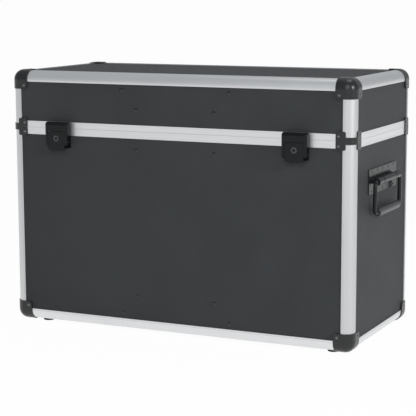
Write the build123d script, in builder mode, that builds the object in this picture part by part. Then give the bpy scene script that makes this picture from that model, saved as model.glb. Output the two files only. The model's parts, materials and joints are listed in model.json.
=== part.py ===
from build123d import *
import os

# Lighting flight case, closed. Millimetres.
# X runs along the front, Y towards the back, Z up. The feet stand on Z = 0.

# Case
case_width = 720.0
case_depth = 330.0
case_height = 502.0
split_height = 391.0
split_gap = 0.3
seat_gap = 0.3

# Aluminium profiles and panels
leg = 21.5
edge_radius = 18.3
lip = 1.6
panel_thickness = 7.0
slot_end = 14.5
slot_fit = 0.5
core_wall = 2.0
core_bore_radius = 3.2
groove_offset = 3.0
groove_width = 0.8
groove_depth = 0.4
body_rim_height = 14.0
lid_rim_height = 12.2
rim_web = 4.0
tongue_offset = 3.1
tongue_width = 4.0
tongue_height = 3.0
tongue_clearance = 0.4
tongue_end_gap = 3.0

# Corner covers
cap_reach = 36.0
cap_thickness = 1.8
cap_corner_radius = 6.0
cap_rivet_offset = 28.5
split_band_height = 6.5
split_band_overlap = 1.0
split_ear_start = 15.6
split_ear_end = 34.6
split_ear_height = 17.0
split_ear_radius = 3.5
split_rivet_inset = 5.5
split_rivet_height = 9.0
split_cover_gap = 0.3

# Rivets
rivet_head_radius = 4.0
rivet_head_height = 1.4
rivet_radius = 2.0
rivet_fit = 0.05
head_edge_share = 0.25
head_shoulder_share = 0.8
head_shoulder_rise = 0.75
rivet_pit_radius = 1.2
rivet_pit_depth = 0.6
rivet_tail_radius = 3.0
rivet_tail_height = 1.3
small_head_radius = 2.8
small_head_height = 0.8
small_rivet_radius = 1.5
small_pit_radius = 0.8
small_pit_depth = 0.3
small_tail_radius = 2.2

# Dividers, their channels and the foam blocks
divider_offset = 82.5
divider_thickness = 7.0
channel_wall = 1.2
channel_depth = 12.0
channel_fit = 0.2
body_channel_low = 50.0
body_channel_gap = 4.0
body_divider_rivet_low = 68.6
body_divider_rivet_drop = 36.0
lid_channel_gap = 1.8
lid_channel_drop = 43.0
block_offset = 113.0
block_length = 34.0
block_height = 16.0
block_depth = 12.0
block_rivet_height = 32.0
divider_split_gap = 3.0

# Foam
floor_foam = 12.0
end_foam = 12.0
lid_foam = 12.0

# Feet
foot_height = 8.0
foot_radius = 11.0
foot_top_radius = 12.0
foot_inset_x = 50.0
foot_inset_y = 42.0
screw_radius = 2.0
screw_head_radius = 4.0
screw_head_height = 2.5
screw_head_fit = 0.5
foot_recess = 3.0

# Latches
latch_offset = 250.5
latch_width = 50.0
latch_reach = 16.0
latch_split_gap = 1.2
claw_bottom = 34.0
claw_top = 13.0
claw_inner = 4.0
claw_wall = 2.5
claw_corner = 3.0
claw_top_radius = 6.0
lever_width = 37.0
lever_top = 5.4
lever_bottom = 41.5
lever_face = 15.4
lever_plate = 2.1
lever_side = 2.2
lever_chamfer = 3.0
lever_slot_gap = 0.8
pivot_height = 9.5
pivot_reach = 10.0
claw_pin_drop = 16.5
latch_pin_radius = 1.5
pin_fit = 0.05
latch_ear_width = 3.0
latch_ear_radius = 2.8
ear_foot_high = 22.0
ear_foot_low = 29.0
latch_base_width = 46.0
latch_base_plate = 2.0
latch_base_bottom = 38.0
lock_height = 19.0
lock_radius = 4.5
lock_fit = 0.08
lock_depth = 9.0
lock_flange_radius = 5.6
lock_flange_height = 0.5
lock_face_radius = 3.6
lock_face_depth = 0.4
lock_cam_thickness = 1.6
key_slot_length = 5.0
key_slot_width = 1.2
key_slot_depth = 1.5
keeper_width = 36.0
keeper_plate = 1.5
keeper_high = 11.0
keeper_lip_top = 4.5
keeper_lip_thickness = 2.5
keeper_lip_reach = 8.0
latch_rivet_spacing = 20.0
latch_rivet_high = 8.0
latch_rivet_low = 33.0
keeper_rivet_spacing = 24.0
keeper_rivet_height = 7.8

# Hinges
hinge_offset = 220.0
hinge_width = 76.0
hinge_knuckles = 5
hinge_knuckle_gap = 0.4
hinge_axis_reach = 4.0
hinge_barrel_radius = 3.5
hinge_pin_radius = 1.75
hinge_leaf = 1.5
hinge_leaf_start = 4.4
hinge_leaf_end = 36.0
hinge_web_inner = 0.3
hinge_rivet_spacing = 50.0
hinge_rivet_height = 26.0
hinge_pin_head = 0.8
hinge_head_radius = 2.9

# Side handles
handle_height = 306.0
handle_plate_width = 160.0
handle_plate_high = 23.5
handle_plate_low = 23.5
handle_plate = 2.0
handle_hole_rows = 19.0
handle_hole_spacing = 31.4
handle_holes = 5
knuckle_radius = 7.0
knuckle_gap = 3.0
knuckle_width = 126.0
knuckle_split = 70.0
bail_radius = 3.9
bail_span = 146.0
bail_drop = 58.0
bail_corner = 9.0
bail_reach = 10.0
bail_fit = 0.08
grip_radius = 7.6
grip_length = 118.0
grip_bore_fit = 0.05

# Places worked out from the sizes
hinge_reach = hinge_axis_reach + hinge_barrel_radius
case_centre_y = (latch_reach - hinge_reach) / 2
left_x = -case_width / 2
right_x = case_width / 2
front_y = case_centre_y - case_depth / 2
back_y = case_centre_y + case_depth / 2
base_z = foot_height
top_z = base_z + case_height
split_z = base_z + split_height
body_mouth_z = split_z - split_gap / 2
lid_mouth_z = split_z + split_gap / 2
panel_back = lip + panel_thickness
lip_back = panel_back + lip
panel_edge = slot_end + slot_fit

middle = Plane(origin=(0, case_centre_y, 0), x_dir=(1, 0, 0), z_dir=(0, 1, 0))
front = Plane(origin=(0, front_y, 0), x_dir=(1, 0, 0), z_dir=(0, -1, 0))
back = Plane(origin=(0, back_y, 0), x_dir=(-1, 0, 0), z_dir=(0, 1, 0))
right = Plane(origin=(right_x, case_centre_y, 0), x_dir=(0, 1, 0), z_dir=(1, 0, 0))
left = Plane(origin=(left_x, case_centre_y, 0), x_dir=(0, -1, 0), z_dir=(-1, 0, 0))

os.makedirs("parts", exist_ok=True)


def save(builder, name):
    """Label a finished piece and write its STEP file."""
    builder.part.label = name
    export_step(builder.part, f"parts/{name}.step")


def both_sides(*places):
    """The places and their mirror images in the face's middle line."""
    return [(side * x, z) for x, z in places for side in (-1, 1)]


body_channel_high_z = split_z - body_rim_height - body_channel_gap
lid_channel_low_z = split_z + lid_rim_height + lid_channel_gap
lid_channel_high_z = top_z - lid_channel_drop

# Rivet places on the faces, as (along the face, height)
body_divider_rivets = both_sides((divider_offset, base_z + body_divider_rivet_low),
                                 (divider_offset, split_z - body_divider_rivet_drop))
lid_divider_rivets = both_sides((divider_offset, (lid_channel_low_z + lid_channel_high_z) / 2))
body_block_rivets = both_sides((block_offset, base_z + block_rivet_height))
lid_block_rivets = both_sides((block_offset, top_z - block_rivet_height))
latch_rivets = [(side * latch_offset + x, split_z - drop)
                for side in (-1, 1)
                for x in (-latch_rivet_spacing / 2, latch_rivet_spacing / 2)
                for drop in (latch_rivet_high, latch_rivet_low)]
keeper_rivets = [(side * latch_offset + x, split_z + keeper_rivet_height)
                 for side in (-1, 1)
                 for x in (-keeper_rivet_spacing / 2, keeper_rivet_spacing / 2)]
hinge_rivets_x = [side * hinge_offset + x
                  for side in (-1, 1)
                  for x in (-hinge_rivet_spacing / 2, 0, hinge_rivet_spacing / 2)]
body_hinge_rivets = [(x, split_z - hinge_rivet_height) for x in hinge_rivets_x]
lid_hinge_rivets = [(x, split_z + hinge_rivet_height) for x in hinge_rivets_x]
cap_rivets_long = [(side * (case_width / 2 - cap_rivet_offset), z)
                   for side in (-1, 1)
                   for z in (base_z + cap_rivet_offset, top_z - cap_rivet_offset)]
cap_rivets_short = [(side * (case_depth / 2 - cap_rivet_offset), z)
                    for side in (-1, 1)
                    for z in (base_z + cap_rivet_offset, top_z - cap_rivet_offset)]
cap_rivets_flat = [(x * (case_width / 2 - cap_rivet_offset),
                    case_centre_y + y * (case_depth / 2 - cap_rivet_offset))
                   for x in (-1, 1) for y in (-1, 1)]
split_rivet_edge = split_ear_end - split_rivet_inset


def split_rivets(width, rise):
    """Rivets of the split covers on one face of the body or the lid."""
    return both_sides((width / 2 - split_rivet_edge, split_z + rise * split_rivet_height))


handle_rivets = [(handle_hole_spacing * (i - (handle_holes - 1) / 2), base_z + handle_height + row)
                 for i in range(handle_holes)
                 for row in (-handle_hole_rows, handle_hole_rows)]


def drill(places, radius):
    """Round holes in the sketch for rivets of the given radius."""
    if places:
        with Locations(*places):
            Circle(radius + rivet_fit, mode=Mode.SUBTRACT)


def panel(name, plane, half_width, low, high, rivets, small_rivets):
    """A board whose outer face lies one lip behind the aluminium's face, drilled for its rivets."""
    with BuildPart() as board:
        with BuildSketch(plane.offset(-panel_back)):
            with Locations((0, (low + high) / 2)):
                Rectangle(2 * half_width, high - low)
            drill(rivets, rivet_radius)
            drill([place for place in small_rivets if low < place[1] < high], small_rivet_radius)
        extrude(amount=panel_thickness)
    save(board, name)


long_half = case_width / 2 - panel_edge
short_half = case_depth / 2 - panel_edge
body_low = base_z + panel_edge
body_high = body_mouth_z - rim_web - slot_fit
lid_low = lid_mouth_z + rim_web + slot_fit
lid_high = top_z - panel_edge

body_long_small = cap_rivets_long + split_rivets(case_width, -1)
body_short_small = cap_rivets_short + split_rivets(case_depth, -1)
lid_long_small = cap_rivets_long + split_rivets(case_width, 1)
lid_short_small = cap_rivets_short + split_rivets(case_depth, 1)
body_inner_rivets = body_divider_rivets + body_block_rivets
lid_inner_rivets = lid_divider_rivets + lid_block_rivets
panel("body_front_panel", front, long_half, body_low, body_high,
      body_inner_rivets, body_long_small + latch_rivets)
panel("body_back_panel", back, long_half, body_low, body_high,
      body_inner_rivets + body_hinge_rivets, body_long_small)
panel("body_left_panel", left, short_half, body_low, body_high, [], body_short_small + handle_rivets)
panel("body_right_panel", right, short_half, body_low, body_high, [], body_short_small + handle_rivets)
panel("lid_front_panel", front, long_half, lid_low, lid_high,
      lid_inner_rivets, lid_long_small + keeper_rivets)
panel("lid_back_panel", back, long_half, lid_low, lid_high,
      lid_inner_rivets + lid_hinge_rivets, lid_long_small)
panel("lid_left_panel", left, short_half, lid_low, lid_high, [], lid_short_small)
panel("lid_right_panel", right, short_half, lid_low, lid_high, [], lid_short_small)

foot_places = [(x * (case_width / 2 - foot_inset_x), case_centre_y + y * (case_depth / 2 - foot_inset_y))
               for x in (-1, 1) for y in (-1, 1)]

with BuildPart() as body_bottom_panel:
    with BuildSketch(Plane.XY.offset(base_z + lip)):
        with Locations((0, case_centre_y)):
            Rectangle(2 * long_half, 2 * short_half)
        drill(foot_places, screw_radius)
        drill(cap_rivets_flat, small_rivet_radius)
    extrude(amount=panel_thickness)
save(body_bottom_panel, "body_bottom_panel")

with BuildPart() as lid_top_panel:
    with BuildSketch(Plane.XY.offset(top_z - panel_back)):
        with Locations((0, case_centre_y)):
            Rectangle(2 * long_half, 2 * short_half)
        drill(cap_rivets_flat, small_rivet_radius)
    extrude(amount=panel_thickness)
save(lid_top_panel, "lid_top_panel")


def rounded_box(growth):
    """The case's outer form with every edge and corner rounded, grown on all sides."""
    with BuildPart() as form:
        with Locations((0, case_centre_y, (base_z + top_z) / 2)):
            Box(case_width + 2 * growth, case_depth + 2 * growth, case_height + 2 * growth)
        fillet(form.edges(), edge_radius + growth)
    return form.part


case_form = rounded_box(0)
cap_form = rounded_box(cap_thickness)

# Directions of the edge profile's section, as (x_dir, z_dir), for body corners and lid corners
section_planes = {
    ("x", 1): ((0, 1, 0), (1, 0, 0)),
    ("y", 1): ((0, 0, 1), (0, 1, 0)),
    ("z", 1): ((1, 0, 0), (0, 0, 1)),
    ("x", -1): ((0, 0, -1), (1, 0, 0)),
    ("y", -1): ((1, 0, 0), (0, 1, 0)),
    ("z", -1): ((0, 1, 0), (0, 0, -1)),
}


def edge_profile(axis, rise, length):
    """One edge profile from the left front corner, mitred there and rounded to the case's form."""
    corner = Vector(left_x, front_y, base_z if rise > 0 else top_z)
    x_dir, z_dir = section_planes[(axis, rise)]
    along = {"x": Vector(1, 0, 0), "y": Vector(0, 1, 0), "z": Vector(0, 0, rise)}
    with BuildPart() as profile:
        with BuildSketch(Plane(origin=corner, x_dir=x_dir, z_dir=z_dir)):
            with BuildLine():
                Polyline((edge_radius, 0), (leg, 0), (leg, lip), (slot_end, lip),
                         (slot_end, panel_back), (leg, panel_back), (leg, lip_back),
                         (lip_back, lip_back), (lip_back, leg), (panel_back, leg),
                         (panel_back, slot_end), (lip, slot_end), (lip, leg), (0, leg),
                         (0, edge_radius))
                RadiusArc((0, edge_radius), (edge_radius, 0), -edge_radius)
            make_face()
            with Locations((leg - groove_offset, 0)):
                Rectangle(groove_width, 2 * groove_depth, mode=Mode.SUBTRACT)
            with Locations((0, leg - groove_offset)):
                Rectangle(2 * groove_depth, groove_width, mode=Mode.SUBTRACT)
            core = slot_end - core_wall - core_bore_radius
            with Locations((core, core)):
                Circle(core_bore_radius, mode=Mode.SUBTRACT)
        extrude(amount=length)
        for other in along:
            if other != axis:
                cut = Plane(origin=corner, z_dir=along[axis] - along[other])
                split(bisect_by=cut, keep=Keep.TOP)
        add(case_form, mode=Mode.INTERSECT)
    return profile.part


def edge_profiles(name, axis, rise, length):
    """The case's parallel profiles along one axis, each a separate solid."""
    with BuildPart() as profiles:
        add(edge_profile(axis, rise, length))
        mirror(about=Plane.YZ)
        mirror(about=middle)
    save(profiles, name)


edge_profiles("body_upright_profiles", "z", 1, body_mouth_z - base_z)
edge_profiles("body_bottom_long_profiles", "x", 1, case_width / 2)
edge_profiles("body_bottom_short_profiles", "y", 1, case_depth / 2)
edge_profiles("lid_upright_profiles", "z", -1, top_z - lid_mouth_z)
edge_profiles("lid_top_long_profiles", "x", -1, case_width / 2)
edge_profiles("lid_top_short_profiles", "y", -1, case_depth / 2)


def rim_profile(plane, half_length, mouth, rise, height, rivets):
    """A rim profile between two uprights: it holds the panel's edge and carries tongue or groove."""
    section = Plane(origin=plane.origin - plane.x_dir * half_length + Vector(0, 0, mouth),
                    x_dir=(0, 0, rise), z_dir=plane.x_dir)
    inward = 1 if section.y_dir.dot(plane.z_dir) < 0 else -1

    def strip(low, high, near, far, mode=Mode.ADD):
        with Locations(((low + high) / 2, inward * (near + far) / 2)):
            Rectangle(high - low, far - near, mode=mode)

    with BuildPart() as rim:
        with BuildSketch(section):
            strip(0, height, 0, lip_back)
            strip(rim_web, height, lip, panel_back, Mode.SUBTRACT)
            strip(height - groove_offset - groove_width, height - groove_offset,
                  -groove_depth, groove_depth, Mode.SUBTRACT)
            if rise > 0:
                strip(0, tongue_height + tongue_clearance, tongue_offset - tongue_clearance,
                      tongue_offset + tongue_width + tongue_clearance, Mode.SUBTRACT)
        extrude(amount=2 * half_length)
        if rise < 0:
            with BuildSketch(section.offset(tongue_end_gap)):
                strip(-tongue_height, 0, tongue_offset, tongue_offset + tongue_width)
            extrude(amount=2 * half_length - 2 * tongue_end_gap)
        with BuildSketch(plane.offset(-lip_back)):
            with Locations(*rivets):
                Circle(small_rivet_radius + rivet_fit)
        extrude(amount=lip_back, mode=Mode.SUBTRACT)
    return rim.part


rim_long = case_width / 2 - leg
rim_short = case_depth / 2 - leg
body_rim_drop = body_rim_height - split_gap / 2
lid_rim_rise = lid_rim_height - split_gap / 2
high_latch_rivets = [place for place in latch_rivets if place[1] > split_z - body_rim_height]

body_long_split = split_rivets(case_width, -1)
body_short_split = split_rivets(case_depth, -1)
lid_long_split = split_rivets(case_width, 1)
lid_short_split = split_rivets(case_depth, 1)

with BuildPart() as body_rim_profiles:
    add(rim_profile(front, rim_long, body_mouth_z, -1, body_rim_drop, high_latch_rivets + body_long_split))
    add(rim_profile(back, rim_long, body_mouth_z, -1, body_rim_drop, body_long_split))
    add(rim_profile(left, rim_short, body_mouth_z, -1, body_rim_drop, body_short_split))
    add(rim_profile(right, rim_short, body_mouth_z, -1, body_rim_drop, body_short_split))
save(body_rim_profiles, "body_rim_profiles")

with BuildPart() as lid_rim_profiles:
    add(rim_profile(front, rim_long, lid_mouth_z, 1, lid_rim_rise, keeper_rivets + lid_long_split))
    add(rim_profile(back, rim_long, lid_mouth_z, 1, lid_rim_rise, lid_long_split))
    add(rim_profile(left, rim_short, lid_mouth_z, 1, lid_rim_rise, lid_short_split))
    add(rim_profile(right, rim_short, lid_mouth_z, 1, lid_rim_rise, lid_short_split))
save(lid_rim_profiles, "lid_rim_profiles")


def drills(plane, places, radius, low, high):
    """Round bars across a face's depth range, to be cut from a piece."""
    with BuildPart() as bars:
        with BuildSketch(plane.offset(low)):
            with Locations(*places):
                Circle(radius + rivet_fit)
        extrude(amount=high - low)
    return bars.part


def corner_caps(name, rise):
    """Four ball corner covers, each with pads that reach the three panels."""
    corner_z = base_z if rise > 0 else top_z
    near = leg + seat_gap
    pad = cap_reach - near
    pad_z = corner_z + rise * (near + pad / 2)
    centre = (cap_reach - cap_thickness) / 2
    with BuildPart() as caps:
        with Locations((left_x + centre, front_y + centre, corner_z + rise * centre)):
            Box(cap_reach + cap_thickness, cap_reach + cap_thickness, cap_reach + cap_thickness)
        add(cap_form, mode=Mode.INTERSECT)
        add(case_form, mode=Mode.SUBTRACT)
        with BuildSketch(front.offset(-lip)):
            with Locations((left_x + near + pad / 2, pad_z)):
                Rectangle(pad, pad)
        extrude(amount=lip)
        with BuildSketch(left.offset(-lip)):
            with Locations((case_depth / 2 - near - pad / 2, pad_z)):
                Rectangle(pad, pad)
        extrude(amount=lip)
        with BuildSketch(Plane.XY.offset(corner_z)):
            with Locations((left_x + near + pad / 2, front_y + near + pad / 2)):
                Rectangle(pad, pad)
        extrude(amount=rise * lip)
        diagonal = Axis((0, 0, 0), (1, 1, rise))
        inner_corners = [caps.edges().filter_by(along).sort_by(diagonal)[-1]
                         for along in (Axis.X, Axis.Y, Axis.Z)]
        fillet(inner_corners, cap_corner_radius)
        add(drills(front, cap_rivets_long, small_rivet_radius, -lip, cap_thickness), mode=Mode.SUBTRACT)
        add(drills(left, cap_rivets_short, small_rivet_radius, -lip, cap_thickness), mode=Mode.SUBTRACT)
        flat = Plane.XY.offset(corner_z)
        add(drills(flat, cap_rivets_flat, small_rivet_radius, -cap_thickness - lip,
                   cap_thickness + lip), mode=Mode.SUBTRACT)
        mirror(about=Plane.YZ)
        mirror(about=middle)
    save(caps, name)


corner_caps("body_corner_caps", 1)
corner_caps("lid_corner_caps", -1)


def skin_form():
    """The case's outline with rounded uprights, grown by a cover's thickness."""
    with BuildPart() as skin:
        with BuildSketch(Plane.XY.offset(split_z - 2 * split_ear_height)):
            with Locations((0, case_centre_y)):
                RectangleRounded(case_width + 2 * cap_thickness, case_depth + 2 * cap_thickness,
                                 edge_radius + cap_thickness)
                RectangleRounded(case_width, case_depth, edge_radius, mode=Mode.SUBTRACT)
        extrude(amount=4 * split_ear_height)
    return skin.part


def split_covers(name, rise):
    """Four covers round the uprights at the split: a band with an ear on each face."""
    low = split_cover_gap
    ear = split_ear_end - split_ear_start
    height = split_ear_height - low
    ear_x = split_ear_start + ear / 2
    band_centre = split_z + rise * (low + split_band_height) / 2
    with BuildPart() as covers:
        for plane, corner in ((front, left_x), (left, case_depth / 2)):
            inward = 1 if corner < 0 else -1
            with BuildSketch(plane.offset(-edge_radius / 4)):
                with Locations((corner + inward * ear_x, split_z + rise * (low + height / 2))):
                    Rectangle(ear, height)
            extrude(amount=edge_radius)
        upright = covers.edges().filter_by(lambda edge: abs(edge.center().Z - split_z) > height)
        fillet(upright.filter_by(Axis.X) + upright.filter_by(Axis.Y), split_ear_radius)
        band = split_ear_start + cap_thickness + split_band_overlap
        with Locations((left_x - cap_thickness + band / 2, front_y - cap_thickness + band / 2, band_centre)):
            Box(band, band, split_band_height - low)
        add(skin_form(), mode=Mode.INTERSECT)
        for plane, width in ((front, case_width), (left, case_depth)):
            add(drills(plane, split_rivets(width, rise), small_rivet_radius, 0, cap_thickness),
                mode=Mode.SUBTRACT)
        mirror(about=Plane.YZ)
        mirror(about=middle)
    save(covers, name)


split_covers("body_split_corners", -1)
split_covers("lid_split_corners", 1)


def make_rivet(head_radius, head_height, pit_radius, pit_depth, shank_radius, length, tail_radius):
    """A pop rivet along Z: domed head above 0, shank and tail below."""
    with BuildPart() as rivet:
        with BuildSketch(Plane.XZ):
            with BuildLine():
                Polyline((pit_radius, head_height), (pit_radius, head_height - pit_depth),
                         (0, head_height - pit_depth), (0, -length - rivet_tail_height),
                         (tail_radius, -length - rivet_tail_height), (tail_radius, -length),
                         (shank_radius, -length), (shank_radius, 0), (head_radius, 0),
                         (head_radius, head_height * head_edge_share),
                         (head_radius * head_shoulder_share, head_height * head_shoulder_rise),
                         (pit_radius, head_height))
            make_face()
        revolve(axis=Axis.Z)
    return rivet.part


def large_rivet(length):
    return make_rivet(rivet_head_radius, rivet_head_height, rivet_pit_radius, rivet_pit_depth,
                      rivet_radius, length, rivet_tail_radius)


def small_rivet(length):
    return make_rivet(small_head_radius, small_head_height, small_pit_radius, small_pit_depth,
                      small_rivet_radius, length, small_tail_radius)


def rivets(name, groups):
    """One node of rivets: each group is a face, the height of the heads' seat, places and a rivet."""
    with BuildPart() as node:
        for plane, seat, places, rivet in groups:
            for x, z in places:
                with Locations(plane.offset(seat)):
                    with Locations((x, z)):
                        add(rivet)
    save(node, name)


channel_rivet = large_rivet(panel_thickness + channel_wall)
block_rivet = large_rivet(panel_thickness + block_depth)
cap_rivet = small_rivet(cap_thickness + panel_back)
split_rivet = small_rivet(cap_thickness + lip_back)
hinge_rivet = large_rivet(hinge_leaf + panel_back)
handle_rivet = small_rivet(handle_plate + panel_thickness)
high_latch_rivet = small_rivet(latch_base_plate + lip_back)
low_latch_rivet = small_rivet(latch_base_plate + panel_back)
keeper_rivet = small_rivet(keeper_plate + lip_back)
low_latch_rivets = [place for place in latch_rivets if place not in high_latch_rivets]

rivets("body_rivets", [(face, -lip, places, rivet) for face in (front, back)
                       for places, rivet in ((body_divider_rivets, channel_rivet),
                                             (body_block_rivets, block_rivet))]
       + [(front, latch_base_plate, high_latch_rivets, high_latch_rivet),
          (front, latch_base_plate, low_latch_rivets, low_latch_rivet),
          (back, hinge_leaf, body_hinge_rivets, hinge_rivet)])
rivets("lid_rivets", [(face, -lip, places, rivet) for face in (front, back)
                      for places, rivet in ((lid_divider_rivets, channel_rivet),
                                            (lid_block_rivets, block_rivet))]
       + [(front, keeper_plate, keeper_rivets, keeper_rivet),
          (back, hinge_leaf, lid_hinge_rivets, hinge_rivet)])
rivets("handle_rivets", [(face, handle_plate - lip, handle_rivets, handle_rivet)
                         for face in (left, right)])


def cover_rivets(name, rise):
    """The small rivets of the corner covers and split covers of body or lid."""
    groups = []
    for face, width, places in ((front, case_width, cap_rivets_long), (back, case_width, cap_rivets_long),
                                (left, case_depth, cap_rivets_short), (right, case_depth, cap_rivets_short)):
        ours = [place for place in places if rise * (split_z - place[1]) > 0]
        groups.append((face, cap_thickness, ours, cap_rivet))
        groups.append((face, cap_thickness, split_rivets(width, -rise), split_rivet))
    flat = Plane(origin=(0, 0, base_z if rise > 0 else top_z), x_dir=(1, 0, 0), z_dir=(0, 0, -rise))
    flat_places = [(x, -rise * y) for x, y in cap_rivets_flat]
    groups.append((flat, cap_thickness, flat_places, cap_rivet))
    rivets(name, groups)


cover_rivets("body_cover_rivets", 1)
cover_rivets("lid_cover_rivets", -1)


def channels(name, low, high, rivet_places):
    """Four riveted channels that hold the divider boards, on the front and back panels."""
    outer = divider_thickness + 2 * channel_fit + 2 * channel_wall
    with BuildPart() as node:
        with BuildSketch(Plane.XY.offset(low)):
            with Locations((-divider_offset, front_y + panel_back + channel_depth / 2)):
                Rectangle(outer, channel_depth)
            with Locations((-divider_offset, front_y + panel_back + channel_wall + channel_depth / 2)):
                Rectangle(outer - 2 * channel_wall, channel_depth, mode=Mode.SUBTRACT)
        extrude(amount=high - low)
        add(drills(front, rivet_places, rivet_radius, -lip_back, -panel_back), mode=Mode.SUBTRACT)
        mirror(about=Plane.YZ)
        mirror(about=middle)
    save(node, name)


channels("body_divider_channels", base_z + body_channel_low, body_channel_high_z, body_divider_rivets)
channels("lid_divider_channels", lid_channel_low_z, lid_channel_high_z, lid_divider_rivets)

lining_inset = lip_back + seat_gap
divider_inset = panel_back + channel_wall + rivet_tail_height + seat_gap


def dividers(name, low, high):
    """Two loose divider boards that stand in their channels."""
    with BuildPart() as boards:
        for x in (-divider_offset, divider_offset):
            with Locations((x, case_centre_y, (low + high) / 2)):
                Box(divider_thickness, case_depth - 2 * divider_inset, high - low)
    save(boards, name)


dividers("body_dividers", base_z + lining_inset, split_z - divider_split_gap)
dividers("lid_dividers", split_z + divider_split_gap, top_z - lining_inset)


def blocks(name, height, rivet_places):
    """Four short wooden blocks that keep the foam in place."""
    with BuildPart() as node:
        with BuildSketch(front.offset(-panel_back)):
            with Locations((-block_offset, height)):
                Rectangle(block_length, block_height)
            drill(rivet_places, rivet_radius)
        extrude(amount=-block_depth)
        mirror(about=Plane.YZ)
        mirror(about=middle)
    save(node, name)


blocks("body_foam_blocks", base_z + block_rivet_height, body_block_rivets)
blocks("lid_foam_blocks", top_z - block_rivet_height, lid_block_rivets)


def foam_pads(name, low, high):
    """Three pads between the divider boards, drawn in by the lining's inset."""
    side_inner = divider_offset + divider_thickness / 2 + seat_gap
    side_outer = case_width / 2 - lining_inset
    centre_half = divider_offset - divider_thickness / 2 - seat_gap
    with BuildPart() as node:
        with BuildSketch(Plane.XY.offset(low)):
            for x, width in ((-(side_inner + side_outer) / 2, side_outer - side_inner),
                             (0, 2 * centre_half),
                             ((side_inner + side_outer) / 2, side_outer - side_inner)):
                with Locations((x, case_centre_y)):
                    Rectangle(width, case_depth - 2 * lining_inset)
        extrude(amount=high - low)
    save(node, name)


floor_low = base_z + lining_inset
floor_high = floor_low + floor_foam
foam_pads("body_floor_foam", floor_low, floor_high)
foam_pads("lid_foam", top_z - lining_inset - lid_foam, top_z - lining_inset)

end_low = floor_high + seat_gap
end_high = split_z - body_rim_height - seat_gap
for side_name, side in (("left", -1), ("right", 1)):
    with BuildPart() as end_pad:
        with Locations((side * (case_width / 2 - lining_inset - end_foam / 2), case_centre_y,
                        (end_low + end_high) / 2)):
            Box(end_foam, case_depth - 2 * lining_inset, end_high - end_low)
    save(end_pad, f"{side_name}_end_foam")

with BuildPart() as feet:
    with Locations(*[(x, y, 0) for x, y in foot_places]):
        Cone(foot_radius, foot_top_radius, foot_height + lip,
             align=(Align.CENTER, Align.CENTER, Align.MIN))
        Cylinder(screw_head_radius + screw_head_fit, foot_recess,
                 align=(Align.CENTER, Align.CENTER, Align.MIN), mode=Mode.SUBTRACT)
        Cylinder(screw_radius + rivet_fit, foot_height + lip,
                 align=(Align.CENTER, Align.CENTER, Align.MIN), mode=Mode.SUBTRACT)
save(feet, "feet")

with BuildPart() as foot_screws:
    with BuildSketch(Plane.XY.offset(foot_recess)):
        with Locations(*foot_places):
            Circle(screw_radius)
    extrude(amount=foot_height + lip - foot_recess + panel_thickness)
    with BuildSketch(Plane.XY.offset(foot_recess)):
        with Locations(*foot_places):
            Circle(screw_head_radius)
    extrude(amount=-screw_head_height)
    with BuildSketch(Plane.XY.offset(foot_recess - screw_head_height)):
        with Locations(*foot_places):
            Rectangle(screw_head_radius, screw_radius / 2)
            Rectangle(screw_radius / 2, screw_head_radius)
    extrude(amount=screw_head_height / 2, mode=Mode.SUBTRACT)
save(foot_screws, "foot_screws")


def latch_side(x):
    """A view along the latch's pins: x outwards from the case, y up from the split."""
    return Plane(origin=(x, front_y, split_z), x_dir=(0, -1, 0), z_dir=(-1, 0, 0))


pivot = (pivot_reach, -pivot_height)
claw_pivot = (pivot_reach, -pivot_height - claw_pin_drop)
lever_inner_half = lever_width / 2 - lever_side
lever_back = lever_face - lever_plate
slot_half = lever_width / 2 + seat_gap + pin_fit
ear_outer = lever_inner_half - seat_gap

with BuildPart() as latch_bases:
    for x0 in (-latch_offset, latch_offset):
        side = latch_side(x0)
        with BuildSketch(side):
            with Locations((latch_base_plate / 2, -(latch_split_gap + latch_base_bottom) / 2)):
                Rectangle(latch_base_plate, latch_base_bottom - latch_split_gap)
            pad_top = body_rim_height + seat_gap
            with Locations((-lip / 2, -(pad_top + latch_base_bottom) / 2)):
                Rectangle(lip, latch_base_bottom - pad_top)
        extrude(amount=latch_base_width / 2, both=True)
        for ear in (-1, 1):
            with BuildSketch(side.offset(ear * (ear_outer - latch_ear_width / 2))):
                with Locations((latch_base_plate / 2, -(ear_foot_high + ear_foot_low) / 2)):
                    Rectangle(latch_base_plate, ear_foot_low - ear_foot_high)
                with Locations(pivot):
                    Circle(latch_ear_radius)
                make_hull()
                with Locations(pivot):
                    Circle(latch_pin_radius + pin_fit, mode=Mode.SUBTRACT)
            extrude(amount=latch_ear_width / 2, both=True)
    add(drills(front, latch_rivets, small_rivet_radius, -lip, latch_base_plate), mode=Mode.SUBTRACT)
save(latch_bases, "latch_bases")

with BuildPart() as latch_keepers:
    for x0 in (-latch_offset, latch_offset):
        with BuildSketch(latch_side(x0)):
            with Locations((keeper_plate / 2, (latch_split_gap + keeper_high) / 2)):
                Rectangle(keeper_plate, keeper_high - latch_split_gap)
            lip_middle = keeper_lip_top - keeper_lip_thickness / 2
            with Locations(((keeper_plate + keeper_lip_reach) / 2, lip_middle)):
                Rectangle(keeper_lip_reach - keeper_plate, keeper_lip_thickness)
        extrude(amount=keeper_width / 2, both=True)
    add(drills(front, keeper_rivets, small_rivet_radius, 0, keeper_plate), mode=Mode.SUBTRACT)
save(latch_keepers, "latch_keepers")

with BuildPart() as latch_pivot_pins:
    for x0 in (-latch_offset, latch_offset):
        with BuildSketch(latch_side(x0)):
            with Locations(pivot):
                Circle(latch_pin_radius)
        extrude(amount=lever_width / 2, both=True)
save(latch_pivot_pins, "latch_pivot_pins")


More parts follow.
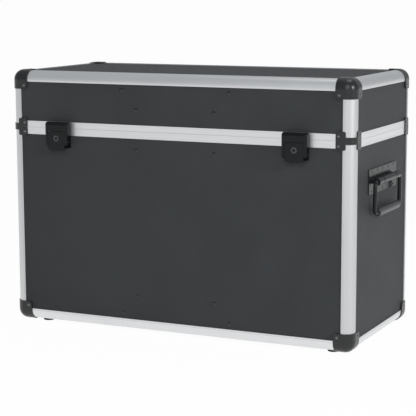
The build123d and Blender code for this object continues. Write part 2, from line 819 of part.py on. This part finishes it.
def latch(side_name, x0):
    """The moving pieces of one draw latch: lever, claw, claw pin and lock barrel."""
    side = latch_side(x0)
    with BuildPart() as lever:
        with BuildSketch(front.offset(lever_back)):
            with Locations((x0, split_z - (lever_top + lever_bottom) / 2)):
                Rectangle(lever_width, lever_bottom - lever_top)
        extrude(amount=lever_plate)
        lower = lever.edges().filter_by(Axis.Y).group_by(Axis.Z)[0]
        chamfer(lower, lever_chamfer)
        for wall in (-1, 1):
            wall_low = lever_bottom - lever_chamfer
            wall_high = pivot_height - latch_ear_radius
            with BuildSketch(side.offset(wall * (lever_width - lever_side) / 2)):
                with Locations(((pivot_reach - latch_ear_radius + lever_back) / 2,
                                -(wall_low + wall_high) / 2)):
                    RectangleRounded(lever_back - pivot_reach + latch_ear_radius + lever_side,
                                     wall_low - wall_high, latch_pin_radius)
                with Locations((lever_face, -lever_bottom / 2)):
                    Rectangle(2 * lever_plate, lever_bottom, mode=Mode.SUBTRACT)
            extrude(amount=lever_side / 2, both=True)
        with BuildSketch(side):
            with Locations(pivot, claw_pivot):
                Circle(latch_pin_radius + pin_fit)
        extrude(amount=lever_width, both=True, mode=Mode.SUBTRACT)
        with BuildSketch(front.offset(lever_back)):
            with Locations((x0, split_z - lock_height)):
                Circle(lock_radius + lock_fit)
        extrude(amount=lever_plate, mode=Mode.SUBTRACT)
    save(lever, f"{side_name}_latch_lever")

    with BuildPart() as claw:
        with BuildSketch(side):
            with Locations(((claw_inner + latch_reach) / 2, (claw_top - claw_bottom) / 2)):
                Rectangle(latch_reach - claw_inner, claw_top + claw_bottom)
        extrude(amount=latch_width / 2, both=True)
        outer_edges = claw.faces().sort_by(Axis.Y)[0].edges()
        fillet(outer_edges.sort_by(Axis.Z)[-1:], claw_top_radius)
        fillet(claw.faces().sort_by(Axis.Y)[0].edges().filter_by(Axis.Z), claw_corner)
        lower = claw.edges().filter_by(Axis.Y).group_by(Axis.Z)[0]
        chamfer(lower, claw_corner)
        with BuildSketch(front):
            with Locations((x0, split_z - (claw_bottom + lever_top - lever_slot_gap) / 2)):
                Rectangle(2 * slot_half, claw_bottom - lever_top + lever_slot_gap)
        extrude(amount=2 * latch_reach, mode=Mode.SUBTRACT)
        hollow_low = -lever_top - claw_wall / 2
        hollow_high = claw_top - claw_wall
        with BuildSketch(side):
            with Locations((lever_back / 2, (hollow_low + hollow_high) / 2)):
                Rectangle(lever_back, hollow_high - hollow_low)
            with Locations(((keeper_lip_reach + seat_gap) / 2, claw_top)):
                Rectangle(keeper_lip_reach + seat_gap, 2 * claw_wall + seat_gap)
        extrude(amount=latch_width / 2 - claw_wall, both=True, mode=Mode.SUBTRACT)
        with BuildSketch(side):
            with Locations(claw_pivot):
                Circle(latch_pin_radius + pin_fit)
        extrude(amount=latch_width, both=True, mode=Mode.SUBTRACT)
    save(claw, f"{side_name}_latch_claw")

    with BuildPart() as barrel:
        flange_seat = lever_face + rivet_fit
        with BuildSketch(front.offset(flange_seat)):
            with Locations((x0, split_z - lock_height)):
                Circle(lock_flange_radius)
        extrude(amount=lock_flange_height)
        with BuildSketch(front.offset(flange_seat)):
            with Locations((x0, split_z - lock_height)):
                Circle(lock_radius)
        extrude(amount=-lock_depth)
        with BuildSketch(front.offset(flange_seat - lock_depth)):
            with Locations((x0, split_z - lock_height - lock_radius / 2)):
                Rectangle(lock_radius, 2 * lock_radius)
        extrude(amount=-lock_cam_thickness)
        with BuildSketch(front.offset(flange_seat + lock_flange_height)):
            with Locations((x0, split_z - lock_height)):
                Circle(lock_face_radius)
        extrude(amount=-lock_face_depth, mode=Mode.SUBTRACT)
        with BuildSketch(front.offset(flange_seat + lock_flange_height)):
            with Locations((x0, split_z - lock_height)):
                Rectangle(key_slot_width, key_slot_length)
                Circle(key_slot_width)
        extrude(amount=-key_slot_depth, mode=Mode.SUBTRACT)
    save(barrel, f"{side_name}_lock_barrel")

    with BuildPart() as claw_pin:
        with BuildSketch(side):
            with Locations(claw_pivot):
                Circle(latch_pin_radius)
        extrude(amount=latch_width / 2, both=True)
    save(claw_pin, f"{side_name}_latch_claw_pin")


latch("left", -latch_offset)
latch("right", latch_offset)


def hinge_leaves(name, rise, first_knuckle, rivet_places):
    """Two leaves of the stop hinges, each with every second knuckle."""
    knuckle = hinge_width / hinge_knuckles
    rim = (lid_rim_height if rise > 0 else body_rim_height) + seat_gap
    with BuildPart() as leaves:
        for centre in (-hinge_offset, hinge_offset):
            edge = Plane(origin=(centre, back_y, split_z), x_dir=(0, 1, 0), z_dir=(1, 0, 0))
            with BuildSketch(edge):
                with Locations((hinge_leaf / 2, rise * (hinge_leaf_start + hinge_leaf_end) / 2)):
                    Rectangle(hinge_leaf, hinge_leaf_end - hinge_leaf_start)
                with Locations((-lip / 2, rise * (rim + hinge_leaf_end) / 2)):
                    Rectangle(lip, hinge_leaf_end - rim)
            extrude(amount=hinge_width / 2, both=True)
            for i in range(first_knuckle, hinge_knuckles, 2):
                place = (i + 0.5) * knuckle - hinge_width / 2
                with BuildSketch(edge.offset(place)):
                    with Locations((hinge_axis_reach, 0)):
                        Circle(hinge_barrel_radius)
                    with Locations(((hinge_web_inner + hinge_leaf + seat_gap) / 2,
                                    rise * hinge_leaf_start / 2)):
                        Rectangle(hinge_leaf + seat_gap - hinge_web_inner, hinge_leaf_start)
                    with Locations((hinge_axis_reach, 0)):
                        Circle(hinge_pin_radius + pin_fit, mode=Mode.SUBTRACT)
                extrude(amount=(knuckle - hinge_knuckle_gap) / 2, both=True)
        add(drills(back, rivet_places, rivet_radius, -lip, hinge_leaf), mode=Mode.SUBTRACT)
    save(leaves, name)


hinge_leaves("body_hinge_leaves", -1, 0, body_hinge_rivets)
hinge_leaves("lid_hinge_leaves", 1, 1, lid_hinge_rivets)

with BuildPart() as hinge_pins:
    for centre in (-hinge_offset, hinge_offset):
        edge = Plane(origin=(centre, back_y + hinge_axis_reach, split_z),
                     x_dir=(0, 1, 0), z_dir=(1, 0, 0))
        with BuildSketch(edge):
            Circle(hinge_pin_radius)
        extrude(amount=hinge_width / 2, both=True)
        for end in (-1, 1):
            with BuildSketch(edge.offset(end * (hinge_width + hinge_pin_head) / 2)):
                Circle(hinge_head_radius)
            extrude(amount=hinge_pin_head / 2, both=True)
save(hinge_pins, "hinge_pins")

handle_z = base_z + handle_height
plate_face = handle_plate - lip


def side_handle(side_name, face):
    """One bar handle: bracket with rolled knuckles, bail and grip."""
    across = Plane(origin=face.origin + face.z_dir * bail_reach + Vector(0, 0, handle_z),
                   x_dir=face.z_dir, z_dir=face.x_dir)
    up = 1 if across.y_dir.Z > 0 else -1
    with BuildPart() as bracket:
        with BuildSketch(face.offset(-lip)):
            with Locations((0, handle_z + (handle_plate_high - handle_plate_low) / 2)):
                Rectangle(handle_plate_width, handle_plate_high + handle_plate_low)
            drill(handle_rivets, small_rivet_radius)
        extrude(amount=handle_plate)
        centre_half = knuckle_split / 2
        outer_half = (knuckle_width - knuckle_split) / 4 - knuckle_gap / 2
        outer_place = (knuckle_width + knuckle_split) / 4 + knuckle_gap / 2
        for place, half in ((-outer_place, outer_half), (0, centre_half), (outer_place, outer_half)):
            with BuildSketch(across.offset(place)):
                Circle(knuckle_radius)
                with Locations(((plate_face - bail_reach) / 2, 0)):
                    Rectangle(bail_reach - plate_face, knuckle_radius)
                Circle(bail_radius + bail_fit, mode=Mode.SUBTRACT)
            extrude(amount=half, both=True)
    save(bracket, f"{side_name}_handle_bracket")

    half_span = bail_span / 2
    stub = centre_half + knuckle_gap
    with BuildPart() as bail:
        with BuildLine(across.offset(0)) as route:
            FilletPolyline((0, 0, -stub), (0, 0, -half_span), (0, -up * bail_drop, -half_span),
                           (0, -up * bail_drop, half_span), (0, 0, half_span), (0, 0, stub),
                           radius=bail_corner)
        with BuildSketch(across.offset(-stub)):
            Circle(bail_radius)
        sweep(path=route.line)
    save(bail, f"{side_name}_handle_bail")

    with BuildPart() as grip:
        with BuildSketch(Plane(origin=across.origin - Vector(0, 0, bail_drop), x_dir=face.z_dir,
                               z_dir=face.x_dir)):
            Circle(grip_radius)
            Circle(bail_radius + grip_bore_fit, mode=Mode.SUBTRACT)
        extrude(amount=grip_length / 2, both=True)
        fillet(grip.edges().filter_by(GeomType.CIRCLE).sort_by(lambda edge: edge.length)[-2:],
               (grip_radius - bail_radius) / 2)
    save(grip, f"{side_name}_handle_grip")


side_handle("left", left)
side_handle("right", right)
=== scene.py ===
import json
import math

import bmesh
import bpy
from mathutils import Matrix, Vector, noise


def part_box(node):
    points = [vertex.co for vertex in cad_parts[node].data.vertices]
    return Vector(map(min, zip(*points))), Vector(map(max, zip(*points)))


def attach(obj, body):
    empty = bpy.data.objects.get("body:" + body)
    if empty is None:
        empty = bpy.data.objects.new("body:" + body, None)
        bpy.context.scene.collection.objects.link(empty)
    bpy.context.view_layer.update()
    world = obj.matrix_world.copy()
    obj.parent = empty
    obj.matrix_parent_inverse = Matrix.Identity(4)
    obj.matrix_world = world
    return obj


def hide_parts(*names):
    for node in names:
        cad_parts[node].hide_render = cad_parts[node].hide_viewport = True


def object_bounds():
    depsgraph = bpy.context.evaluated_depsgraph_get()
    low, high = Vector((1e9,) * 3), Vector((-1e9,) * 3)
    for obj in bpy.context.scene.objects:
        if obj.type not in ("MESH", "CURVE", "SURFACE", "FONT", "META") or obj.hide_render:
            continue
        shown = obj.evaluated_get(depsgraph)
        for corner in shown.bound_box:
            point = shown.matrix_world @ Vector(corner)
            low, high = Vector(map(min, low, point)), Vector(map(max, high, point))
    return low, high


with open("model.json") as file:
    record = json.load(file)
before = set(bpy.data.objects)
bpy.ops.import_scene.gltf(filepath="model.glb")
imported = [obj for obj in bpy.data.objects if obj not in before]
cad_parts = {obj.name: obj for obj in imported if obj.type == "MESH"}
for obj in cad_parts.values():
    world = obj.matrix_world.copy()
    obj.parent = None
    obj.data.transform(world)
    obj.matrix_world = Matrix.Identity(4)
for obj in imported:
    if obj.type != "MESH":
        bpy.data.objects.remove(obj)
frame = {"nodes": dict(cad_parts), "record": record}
cad_bounds = [list(corner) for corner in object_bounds()]
case_low, case_high = map(Vector, cad_bounds)

# Lengths are in metres and places in the CAD frame. Angles are in degrees.

# The photograph's view, solved from the case's straight edges. The sensor is in millimetres.
IMAGE_PIXELS = 416
FOCAL_PIXELS = 1443.3
SENSOR_WIDTH = 36.0
CAMERA_PLACE = Vector((1.2213, -2.5924, 0.6829))
CAMERA_YAW = -25.32
CAMERA_PITCH = 8.92
CAMERA_ROLL = -0.195
CAMERA_REACH = 1000

# Finishes
LAMINATE_GREY = (0.049, 0.053, 0.056)
WEAVE_PITCH = 0.0036
WEAVE_RELIEF = 0.00045
WEAVE_TONE = 0.42
SATIN_ALUMINIUM = (0.80, 0.81, 0.82)
# How finely the die lines of an extrusion vary along it and across it, per metre
ALONG_GRAIN, ACROSS_GRAIN = 4, 1500
FOAM_GREY = (0.050, 0.051, 0.054)
FOAM_CELLS_PER_METRE = 900
LOCK_FACE_RADIUS = 0.0036
LOCK_FACE_DARK = (0.03, 0.032, 0.034)
LOCK_RING_GREY = (0.10, 0.105, 0.11)

# Foam pads: the faces that show lie PAD_SUNK inside the pad's box, give or take PAD_UNEVEN
PAD_SPACING = 0.012
PAD_RIM = 0.003
PAD_BEVEL_SEGMENTS = 3
PAD_BEVEL_ANGLE = 40
PAD_EDGE_PULL = 0.35 * PAD_RIM
PAD_SUNK = 0.0006
PAD_UNEVEN = 0.0005
PAD_UNEVEN_SCALE = 30
TOUCH = 1e-6
DIVIDER_THICKNESS = 0.007
PAD_GAP = 0.0003

# Floor and light
FLOOR_REACH = 400
FLOOR_GREY = 0.95
FLOOR_WHITE_SHARE = 0.97
WORLD_COLOUR = (0.94, 0.965, 1.0, 1)
WORLD_STRENGTH = 0.42
# Name, place, side length and watts of each lamp
SOFTBOXES = (
    ("front_softbox", (0.9, -2.6, 1.7), 1.6, 19),
    ("right_softbox", (2.6, -0.9, 1.3), 0.5, 25),
    ("top_softbox", (0.4, 0.3, 2.6), 1.2, 10),
)


def make_camera():
    """A camera that looks at the case as the photograph does."""
    yaw, pitch, roll = (math.radians(angle) for angle in (CAMERA_YAW, CAMERA_PITCH, CAMERA_ROLL))
    forward = Vector((math.cos(pitch) * math.sin(yaw), math.cos(pitch) * math.cos(yaw), -math.sin(pitch)))
    level = Vector((math.cos(yaw), -math.sin(yaw), 0))
    upright = level.cross(forward)
    right = math.cos(roll) * level + math.sin(roll) * upright
    up = math.cos(roll) * upright - math.sin(roll) * level
    data = bpy.data.cameras.new("camera")
    data.sensor_width = SENSOR_WIDTH
    data.lens = FOCAL_PIXELS * SENSOR_WIDTH / IMAGE_PIXELS
    data.clip_end = CAMERA_REACH
    camera = bpy.data.objects.new("camera", data)
    camera.matrix_world = Matrix((
        (right.x, up.x, -forward.x, CAMERA_PLACE.x),
        (right.y, up.y, -forward.y, CAMERA_PLACE.y),
        (right.z, up.z, -forward.z, CAMERA_PLACE.z),
        (0, 0, 0, 1)))
    bpy.context.collection.objects.link(camera)
    bpy.context.scene.camera = camera


make_camera()


class Shader:
    """A node material under construction."""

    def __init__(self, name):
        self.material = bpy.data.materials.new(name)
        self.material.use_nodes = True
        self.tree = self.material.node_tree
        self.surface = self.tree.nodes["Principled BSDF"]

    def add(self, kind):
        return self.tree.nodes.new(kind)

    def link(self, output, socket):
        self.tree.links.new(output, socket)

    def math(self, operation, first, second=None):
        """One sum, whose terms are numbers or other nodes' outputs."""
        node = self.add("ShaderNodeMath")
        node.operation = operation
        for index, value in enumerate((first, second)):
            if value is None:
                continue
            if isinstance(value, (int, float)):
                node.inputs[index].default_value = value
            else:
                self.link(value, node.inputs[index])
        return node.outputs[0]

    def place(self, scale=(1, 1, 1)):
        """Coordinates of the case's own frame, stretched by a scale."""
        coordinates = self.add("ShaderNodeTexCoord")
        mapping = self.add("ShaderNodeMapping")
        mapping.inputs["Scale"].default_value = scale
        self.link(coordinates.outputs["Object"], mapping.inputs["Vector"])
        return mapping.outputs[0]

    def split(self, vector):
        """A vector's three parts."""
        node = self.add("ShaderNodeSeparateXYZ")
        self.link(vector, node.inputs[0])
        return node.outputs

    def noise(self, scale, detail=3, stretch=(1, 1, 1), roughness=0.5):
        node = self.add("ShaderNodeTexNoise")
        node.inputs["Scale"].default_value = scale
        node.inputs["Detail"].default_value = detail
        node.inputs["Roughness"].default_value = roughness
        self.link(self.place(stretch), node.inputs["Vector"])
        return node.outputs[0]

    def colour(self, value, *stops):
        """Base colour that follows a value through stops, each (position, colour)."""
        node = self.add("ShaderNodeValToRGB")
        while len(node.color_ramp.elements) < len(stops):
            node.color_ramp.elements.new(0.5)
        for element, (position, colour) in zip(node.color_ramp.elements, stops):
            element.position = position
            element.color = (*colour, 1)
        self.link(value, node.inputs[0])
        self.link(node.outputs[0], self.surface.inputs["Base Color"])

    def roughness(self, value, low, high):
        """Roughness that follows a value from low to high."""
        node = self.add("ShaderNodeMapRange")
        node.inputs["To Min"].default_value = low
        node.inputs["To Max"].default_value = high
        self.link(value, node.inputs["Value"])
        self.link(node.outputs[0], self.surface.inputs["Roughness"])

    def bump(self, *layers):
        """Stacked bump layers, each (height, strength, depth)."""
        last = None
        for height, strength, depth in layers:
            node = self.add("ShaderNodeBump")
            node.inputs["Strength"].default_value = strength
            node.inputs["Distance"].default_value = depth
            self.link(height, node.inputs["Height"])
            if last:
                self.link(last, node.inputs["Normal"])
            last = node.outputs[0]
        self.link(last, self.surface.inputs["Normal"])

    def set(self, **values):
        """Uniform values, set on the sockets themselves."""
        for key, value in values.items():
            self.surface.inputs[key.replace("_", " ")].default_value = value


def shade(colour, factor):
    return tuple(channel * factor for channel in colour)


def diagonal_weave(shader, pitch):
    """A fine diamond relief that runs the same way on every face of the case."""
    x, y, z = shader.split(shader.place())
    facing = shader.split(shader.add("ShaderNodeTexCoord").outputs["Normal"])
    flat = shader.math("GREATER_THAN", shader.math("ABSOLUTE", facing[2]), 0.5)
    steep = shader.math("SUBTRACT", 1.0, flat)
    across = shader.math("ADD", x, shader.math("MULTIPLY", y, steep))
    along = shader.math("ADD", shader.math("MULTIPLY", z, steep), shader.math("MULTIPLY", y, flat))
    turn = 2 * math.pi / pitch
    rising = shader.math("SINE", shader.math("MULTIPLY", shader.math("ADD", across, along), turn))
    falling = shader.math("SINE", shader.math("MULTIPLY", shader.math("SUBTRACT", across, along), turn))
    return shader.math("MULTIPLY", rising, falling)


def laminate():
    """Dark grey laminate with a fine diamond relief."""
    shader = Shader("laminate")
    weave = diagonal_weave(shader, WEAVE_PITCH)
    cloud = shader.noise(9, 4)
    tone = shader.math("ADD", shader.math("MULTIPLY", weave, WEAVE_TONE), cloud)
    shader.colour(tone, (0.25, shade(LAMINATE_GREY, 0.84)), (0.75, shade(LAMINATE_GREY, 1.17)))
    shader.roughness(shader.noise(160, 2), 0.44, 0.58)
    shader.set(Specular_IOR_Level=0.18)
    shader.bump((weave, 0.7, WEAVE_RELIEF), (shader.noise(1400, 2), 0.25, 0.0001))
    return shader.material


def aluminium(name, stretch, colour=SATIN_ALUMINIUM):
    """Satin extruded aluminium: die lines along the profile, faint smudges across it."""
    shader = Shader(name)
    lines = shader.noise(1, 4, stretch, 0.7)
    smudge = shader.noise(22, 3)
    shader.colour(lines, (0.25, shade(colour, 0.90)), (0.75, shade(colour, 1.06)))
    mixed = shader.math("ADD", shader.math("MULTIPLY", lines, 0.5), shader.math("MULTIPLY", smudge, 0.5))
    shader.roughness(mixed, 0.34, 0.46)
    shader.set(Metallic=0.92)
    shader.bump((lines, 0.18, 0.00008), (shader.noise(3000, 1), 0.10, 0.00004))
    return shader.material


def coated(name, colour, roughness, peel=900, specular=0.5):
    """Powder coat or moulded plastic with an orange-peel skin and duller handled patches."""
    shader = Shader(name)
    wear = shader.noise(45, 4)
    shader.colour(wear, (0.35, shade(colour, 0.88)), (0.75, shade(colour, 1.18)))
    shader.roughness(wear, *roughness)
    shader.set(Specular_IOR_Level=specular)
    shader.bump((shader.noise(peel, 2), 0.22, 0.00012))
    return shader.material


def bright_metal(name, colour, roughness):
    """Small bright metal pieces with light scratches."""
    shader = Shader(name)
    scratches = shader.noise(700, 4, (1, 1, 0.2))
    shader.colour(scratches, (0.3, shade(colour, 0.8)), (0.7, colour))
    shader.roughness(scratches, *roughness)
    shader.set(Metallic=1.0)
    shader.bump((scratches, 0.15, 0.00005))
    return shader.material


def lock_metal():
    """Dark plated lock barrels, whose sunk faces with the key slots are darker still."""
    shader = Shader("lock_metal")
    low, high = (Vector(corner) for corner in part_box("right_lock_barrel"))
    centre_x = (low.x + high.x) / 2
    centre_z = high.z - (high.x - low.x) / 2
    x, _, z = shader.split(shader.place())
    across = shader.math("SUBTRACT", shader.math("ABSOLUTE", x), centre_x)
    along = shader.math("SUBTRACT", z, centre_z)
    radius = shader.math("SQRT", shader.math("ADD", shader.math("MULTIPLY", across, across),
                                             shader.math("MULTIPLY", along, along)))
    ring = shader.math("GREATER_THAN", radius, LOCK_FACE_RADIUS)
    shader.colour(ring, (0.0, LOCK_FACE_DARK), (1.0, LOCK_RING_GREY))
    scratches = shader.noise(900, 4)
    shader.roughness(scratches, 0.22, 0.36)
    shader.set(Metallic=0.9)
    shader.bump((scratches, 0.2, 0.00005))
    return shader.material


def wood(name, colour, stretch):
    """Planed timber: stretched grain rings with a fine pore bump."""
    shader = Shader(name)
    grain = shader.noise(1, 6, stretch, 0.6)
    shader.colour(grain, (0.3, shade(colour, 0.6)), (0.55, colour), (0.8, shade(colour, 1.2)))
    shader.roughness(grain, 0.55, 0.75)
    shader.bump((grain, 0.3, 0.0002))
    return shader.material


def foam_skin():
    """Charcoal open-cell foam."""
    shader = Shader("foam")
    cells = shader.add("ShaderNodeTexVoronoi")
    cells.inputs["Scale"].default_value = FOAM_CELLS_PER_METRE
    shader.link(shader.place(), cells.inputs["Vector"])
    pores = cells.outputs["Distance"]
    shader.colour(pores, (0.1, shade(FOAM_GREY, 0.5)), (0.6, shade(FOAM_GREY, 1.3)))
    shader.roughness(shader.noise(60, 3), 0.85, 0.98)
    shader.set(Sheen_Weight=0.3, Sheen_Roughness=0.5, Specular_IOR_Level=0.2)
    shader.bump((pores, 0.7, 0.0006))
    return shader.material


# By material slot. A coated finish takes its colour, lowest and highest roughness, the fineness
# of its orange peel and how strongly it reflects.
FINISHES = {
    "laminate": laminate(),
    "black_cover": coated("black_cover", (0.012, 0.013, 0.014), (0.22, 0.34)),
    "rivet_metal": bright_metal("rivet_metal", (0.17, 0.175, 0.18), (0.12, 0.22)),
    "handle_steel": coated("handle_steel", (0.014, 0.016, 0.017), (0.16, 0.26), 900, 0.22),
    "grip_plastic": coated("grip_plastic", (0.044, 0.048, 0.053), (0.26, 0.40), 600, 0.4),
    "channel_aluminium": aluminium("channel_aluminium", (900, 900, 6), (0.66, 0.67, 0.68)),
    "divider_board": coated("divider_board", (0.030, 0.031, 0.033), (0.5, 0.7), 400),
    "block_wood": wood("block_wood", (0.42, 0.27, 0.13), (12, 260, 260)),
    "foot_rubber": coated("foot_rubber", (0.014, 0.014, 0.014), (0.6, 0.8), 1200, 0.3),
    "latch_black": coated("latch_black", (0.003, 0.0052, 0.0058), (0.16, 0.26), 1100, 0.24),
    "lock_metal": lock_metal(),
    "zinc_steel": bright_metal("zinc_steel", (0.50, 0.51, 0.53), (0.30, 0.45)),
    "foam": foam_skin(),
}
ALONG_X = aluminium("aluminium_along_x", (ALONG_GRAIN, ACROSS_GRAIN, ACROSS_GRAIN))
ALONG_Y = aluminium("aluminium_along_y", (ACROSS_GRAIN, ALONG_GRAIN, ACROSS_GRAIN))
# The uprights' copy of the aluminium is painted darker than the rest: painted shade
SHADED_ALONG_Z = aluminium("aluminium_along_z_painted_shade", (ACROSS_GRAIN, ACROSS_GRAIN, ALONG_GRAIN), (0.67, 0.68, 0.69))
# The rims' copy of the aluminium is painted a little lighter than the rest: a painted highlight
LIT_AROUND = aluminium("aluminium_around_painted_highlight", (ALONG_GRAIN, ALONG_GRAIN, ACROSS_GRAIN), (0.82, 0.83, 0.84))
DARK_RIVET = coated("dark_rivet", (0.006, 0.007, 0.007), (0.10, 0.18), 1500, 0.7)

# Nodes whose finish is their own: the profiles' grain follows their length, the uprights' aluminium is
# painted darker as painted shade and the rims' a little lighter as a painted highlight
NODE_FINISHES = {
    "body_bottom_long_profiles": ALONG_X,
    "body_bottom_short_profiles": ALONG_Y,
    "body_upright_profiles": SHADED_ALONG_Z,
    "body_rim_profiles": LIT_AROUND,
    "lid_top_long_profiles": ALONG_X,
    "lid_top_short_profiles": ALONG_Y,
    "lid_upright_profiles": SHADED_ALONG_Z,
    "lid_rim_profiles": LIT_AROUND,
    "body_rivets": DARK_RIVET,
    "lid_rivets": DARK_RIVET,
    "handle_rivets": DARK_RIVET,
}


def finish_nodes():
    """Every CAD node gets its finish."""
    slots = {row["node"]: row["material_slot"] for row in frame["record"]["subparts"]}
    for name, piece in frame["nodes"].items():
        piece.data.materials.clear()
        piece.data.materials.append(NODE_FINISHES.get(name) or FINISHES[slots[name]])


finish_nodes()


def cut_grid(mesh, low, size):
    """Planes cut the mesh at even steps along each axis."""
    for axis in range(3):
        steps = max(1, round(size[axis] / PAD_SPACING))
        for step in range(1, steps):
            normal = Vector((0, 0, 0))
            normal[axis] = 1
            point = low.copy()
            point[axis] += size[axis] * step / steps
            everything = mesh.verts[:] + mesh.edges[:] + mesh.faces[:]
            bmesh.ops.bisect_plane(mesh, geom=everything, plane_co=point, plane_no=normal)


def foam_pad(name, low, high, crown_axis, crown_side):
    """A foam pad that fills its box, with soft edges and one uneven face: the one that shows."""
    size = high - low
    centre = (low + high) / 2
    mesh = bmesh.new()
    bmesh.ops.create_cube(mesh, size=1)
    bmesh.ops.scale(mesh, vec=size, verts=mesh.verts)
    bmesh.ops.translate(mesh, vec=centre, verts=mesh.verts)
    cut_grid(mesh, low, size)
    for vertex in mesh.verts:
        place = vertex.co
        inset = [min(place[axis] - low[axis], high[axis] - place[axis]) for axis in range(3)]
        on_faces = sum(depth < TOUCH for depth in inset)
        on_crown = inset[crown_axis] < TOUCH and (place[crown_axis] - centre[crown_axis]) * crown_side > 0
        if on_faces >= 2:
            for axis in range(3):
                if inset[axis] < TOUCH:
                    place[axis] += math.copysign(PAD_EDGE_PULL * (on_faces - 1), centre[axis] - place[axis])
        elif on_faces == 1 and on_crown:
            place[crown_axis] -= crown_side * (PAD_SUNK + PAD_UNEVEN * noise.noise(place * PAD_UNEVEN_SCALE))
    data = bpy.data.meshes.new(name)
    mesh.to_mesh(data)
    mesh.free()
    pad = bpy.data.objects.new(name, data)
    bpy.context.collection.objects.link(pad)
    bevel = pad.modifiers.new("rounding", "BEVEL")
    bevel.width = PAD_RIM
    bevel.segments = PAD_BEVEL_SEGMENTS
    bevel.limit_method = "ANGLE"
    bevel.angle_limit = math.radians(PAD_BEVEL_ANGLE)
    for polygon in data.polygons:
        polygon.use_smooth = True
    data.materials.append(FINISHES["foam"])
    return pad


def foam_pads():
    """The pads of the floor, the lid and the ends stand for their CAD solids."""
    divider_low, divider_high = (Vector(corner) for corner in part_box("body_dividers"))
    for node, body, side in (("body_floor_foam", "body", 1), ("lid_foam", "lid", -1)):
        low, high = (Vector(corner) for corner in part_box(node))
        spans = (("left", low.x, divider_low.x - PAD_GAP),
                 ("centre", divider_low.x + DIVIDER_THICKNESS + PAD_GAP,
                  divider_high.x - DIVIDER_THICKNESS - PAD_GAP),
                 ("right", divider_high.x + PAD_GAP, high.x))
        for place, start, end in spans:
            pad_low, pad_high = Vector((start, low.y, low.z)), Vector((end, high.y, high.z))
            pad = foam_pad(f"{node}_{place}", pad_low, pad_high, 2, side)
            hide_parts(node)
            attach(pad, body)
    for place, side in (("left", 1), ("right", -1)):
        node = f"{place}_end_foam"
        low, high = (Vector(corner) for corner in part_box(node))
        pad = foam_pad(f"{place}_end_pad", low, high, 0, side)
        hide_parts(node)
        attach(pad, "body")


foam_pads()


def camera_white(tree, share):
    """How far the floor turns white for the camera, for reflections and for transmission."""

    def combine(operation, first, second):
        node = tree.nodes.new("ShaderNodeMath")
        node.operation = operation
        tree.links.new(first, node.inputs[0])
        if isinstance(second, float):
            node.inputs[1].default_value = second
        else:
            tree.links.new(second, node.inputs[1])
        return node.outputs[0]

    rays = tree.nodes.new("ShaderNodeLightPath").outputs
    seen = combine("MAXIMUM", rays["Is Camera Ray"], rays["Is Glossy Ray"])
    seen = combine("MAXIMUM", seen, rays["Is Transmission Ray"])
    return combine("MULTIPLY", seen, share)


def make_floor():
    """A pale floor that stays white around the case and keeps its soft shadow."""
    data = bpy.data.meshes.new("floor")
    corners = [(x * FLOOR_REACH, y * FLOOR_REACH, 0) for x, y in ((-1, -1), (1, -1), (1, 1), (-1, 1))]
    data.from_pydata(corners, [], [(0, 1, 2, 3)])
    floor = bpy.data.objects.new("floor", data)
    bpy.context.collection.objects.link(floor)
    material = bpy.data.materials.new("floor")
    material.use_nodes = True
    tree = material.node_tree
    surface = tree.nodes["Principled BSDF"]
    surface.inputs["Base Color"].default_value = (FLOOR_GREY, FLOOR_GREY, FLOOR_GREY, 1)
    surface.inputs["Roughness"].default_value = 0.9
    surface.inputs["Specular IOR Level"].default_value = 0.1
    glow = tree.nodes.new("ShaderNodeEmission")
    glow.inputs["Strength"].default_value = 1.0
    mix = tree.nodes.new("ShaderNodeMixShader")
    tree.links.new(camera_white(tree, FLOOR_WHITE_SHARE), mix.inputs[0])
    tree.links.new(surface.outputs[0], mix.inputs[1])
    tree.links.new(glow.outputs[0], mix.inputs[2])
    tree.links.new(mix.outputs[0], tree.nodes["Material Output"].inputs["Surface"])
    data.materials.append(material)


make_floor()


def make_world():
    """Soft even light from a pale surround."""
    world = bpy.data.worlds.new("world")
    bpy.context.scene.world = world
    world.use_nodes = True
    soft = world.node_tree.nodes["Background"]
    soft.inputs["Color"].default_value = WORLD_COLOUR
    soft.inputs["Strength"].default_value = WORLD_STRENGTH


make_world()


def softbox(name, place, size, power):
    """A square area lamp that faces the middle of the case."""
    data = bpy.data.lights.new(name, "AREA")
    data.shape = "SQUARE"
    data.size = size
    data.energy = power
    lamp = bpy.data.objects.new(name, data)
    lamp.location = place
    lamp.rotation_mode = "QUATERNION"
    middle = (case_low + case_high) / 2
    lamp.rotation_quaternion = (middle - Vector(place)).to_track_quat("-Z", "Y")
    bpy.context.collection.objects.link(lamp)


for settings in SOFTBOXES:
    softbox(*settings)

bpy.context.scene.view_settings.view_transform = "Standard"
